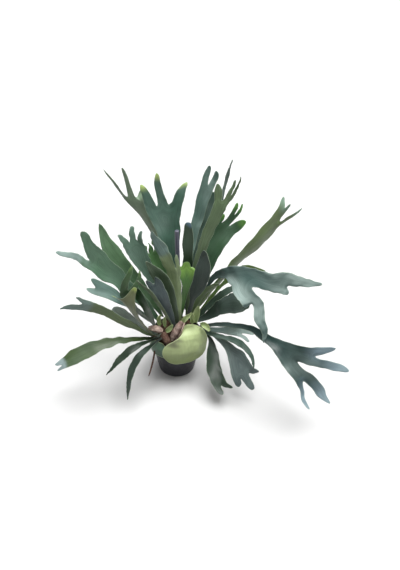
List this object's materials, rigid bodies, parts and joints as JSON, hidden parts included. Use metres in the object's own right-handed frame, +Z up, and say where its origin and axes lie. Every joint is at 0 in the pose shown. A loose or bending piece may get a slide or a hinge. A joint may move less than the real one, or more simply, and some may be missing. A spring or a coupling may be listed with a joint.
{
  "type": "potted staghorn fern",
  "caption": "Staghorn fern in a round tapered nursery pot: forked antler fronds rise and arch from a mound of shield fronds, beside a plant stake.",
  "frame": {"origin": "centre of the flat underside of the pot, on the pot's axis", "axes": "+Z up along the pot's axis, -Y towards the side that the largest shield frond faces, +X to the right as seen from there"},
  "size_m": [0.6215, 0.3802, 0.4898],
  "materials": {
    "pot_plastic": "satin, near-black",
    "stake_plastic": "satin, slate blue",
    "peat": "rough, damp potting mix",
    "rhizome_fur": "rough, furry brown scales",
    "brown_base": "rough, dry and papery",
    "antler_leaf": "leathery, with a grey bloom of fine hairs",
    "shield_leaf": "smooth, pale green",
    "new_leaf": "downy, pale yellow-green",
    "dead_leaf": "dry, dark brown"
  },
  "bodies": {
    "root": {"dead_frond_strip": "dead_leaf", "frond_antler_right": "antler_leaf", "frond_blue_grey_left": "antler_leaf", "frond_bright_toothed_left": "antler_leaf", "frond_broad_rear_left": "antler_leaf", "frond_by_pot_right": "antler_leaf", "frond_curled_fork_left": "antler_leaf", "frond_curled_grey_centre": "antler_leaf", "frond_curved_strap_right": "antler_leaf", "frond_dark_strap_rear": "antler_leaf", "frond_dark_strap_right": "antler_leaf", "frond_dark_wide_left": "antler_leaf", "frond_drooping_right": "antler_leaf", "frond_edge_on_rear": "antler_leaf", "frond_forked_olive_left": "antler_leaf", "frond_front_olive": "antler_leaf", "frond_grey_olive_left": "antler_leaf", "frond_grey_patch_left": "antler_leaf", "frond_hanging_dark_right": "antler_leaf", "frond_hanging_left": "antler_leaf", "frond_large_far_left": "antler_leaf", "frond_largest_low_right": "antler_leaf", "frond_lipped_olive_left": "antler_leaf", "frond_long_olive_right": "antler_leaf", "frond_lowest_left": "antler_leaf", "frond_narrow_olive_left": "antler_leaf", "frond_olive_behind_droop": "antler_leaf", "frond_olive_centre": "antler_leaf", "frond_pointed_left": "antler_leaf", "frond_round_tip_by_stake": "antler_leaf", "frond_short_grey_right": "antler_leaf", "frond_short_olive_right": "antler_leaf", "frond_small_far_left": "antler_leaf", "frond_small_low_left": "antler_leaf", "frond_small_toothed_centre": "antler_leaf", "frond_tall_rear_centre": "antler_leaf", "frond_tall_rear_left": "antler_leaf", "frond_three_lobed_left": "antler_leaf", "frond_wavy_dark_right": "antler_leaf", "new_frond_left_inner": "new_leaf", "new_frond_left_middle": "new_leaf", "new_frond_left_outer": "new_leaf", "new_frond_right_inner": "new_leaf", "new_frond_right_low": "new_leaf", "new_frond_right_middle": "new_leaf", "new_frond_right_tall": "new_leaf", "old_base_left": "brown_base", "old_base_middle": "brown_base", "old_base_right": "brown_base", "plant_stake": "stake_plastic", "pot": "pot_plastic", "potting_mix": "peat", "rhizome": "rhizome_fur", "shield_frond_front": "shield_leaf", "shield_frond_left": "shield_leaf"}
  },
  "joints": []
}
